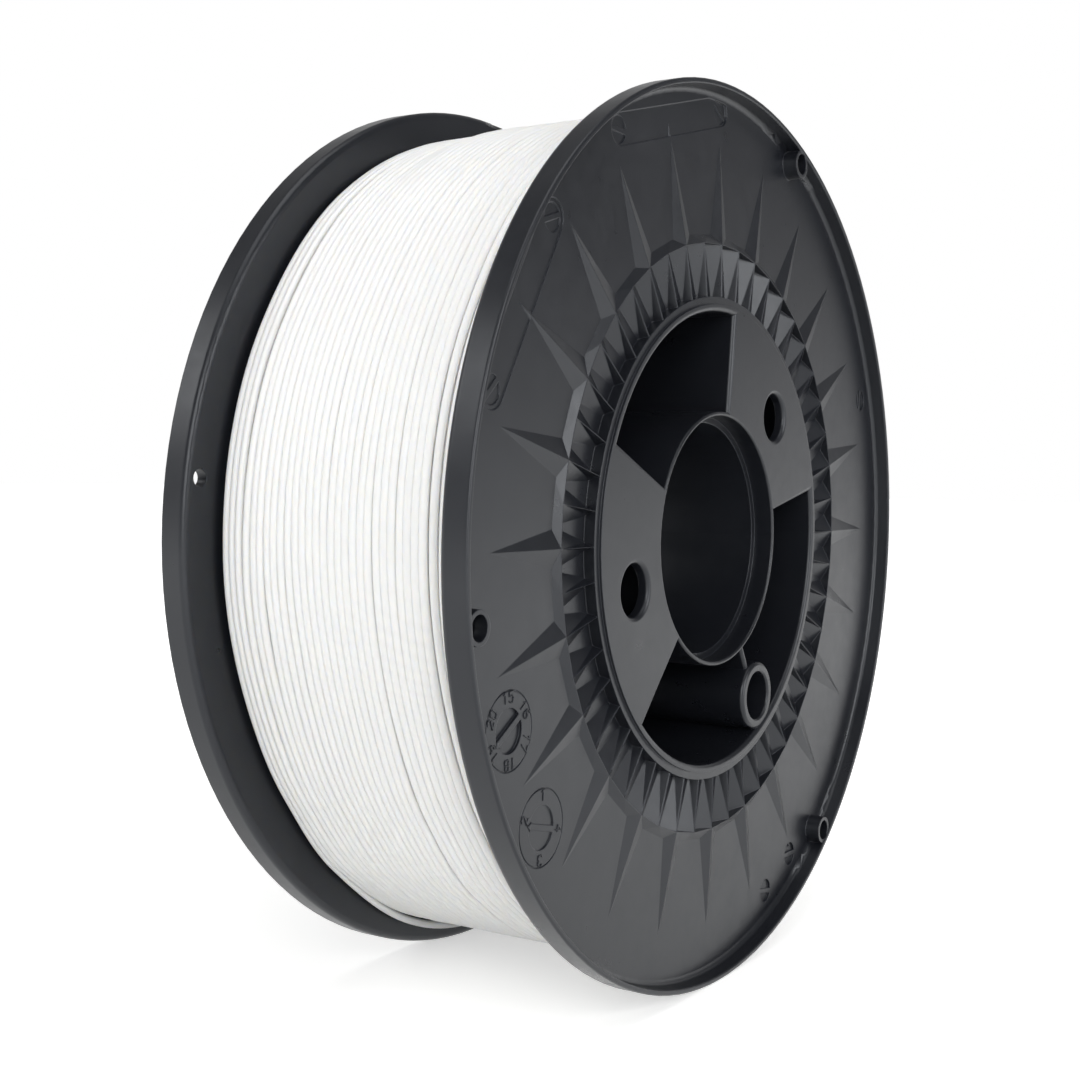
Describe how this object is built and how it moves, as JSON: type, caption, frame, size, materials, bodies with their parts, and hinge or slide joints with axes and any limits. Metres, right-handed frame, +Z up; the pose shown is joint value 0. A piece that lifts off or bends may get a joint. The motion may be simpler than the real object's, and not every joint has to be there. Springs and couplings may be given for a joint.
{
  "type": "filament spool",
  "caption": "Full spool of white 3D printer filament: a dark moulded reel of two halves with a wide bore, windows, drive holes and a sunburst of rays on its flanges.",
  "frame": {"origin": "centre of the spool: on the axis of its bore, midway between the two rims", "axes": "Y is the spool's axis and the front flange faces -Y; +Z is up, so the rims stand on the plane 100 mm below the origin"},
  "size_m": [0.2, 0.074, 0.2],
  "materials": {
    "spool_plastic": "fine satin",
    "filament_white": "smooth gloss"
  },
  "bodies": {
    "root": {"front_spool_half": "spool_plastic", "rear_spool_half": "spool_plastic", "filament_pack": "filament_white", "filament_outer_turns": "filament_white"}
  },
  "joints": []
}
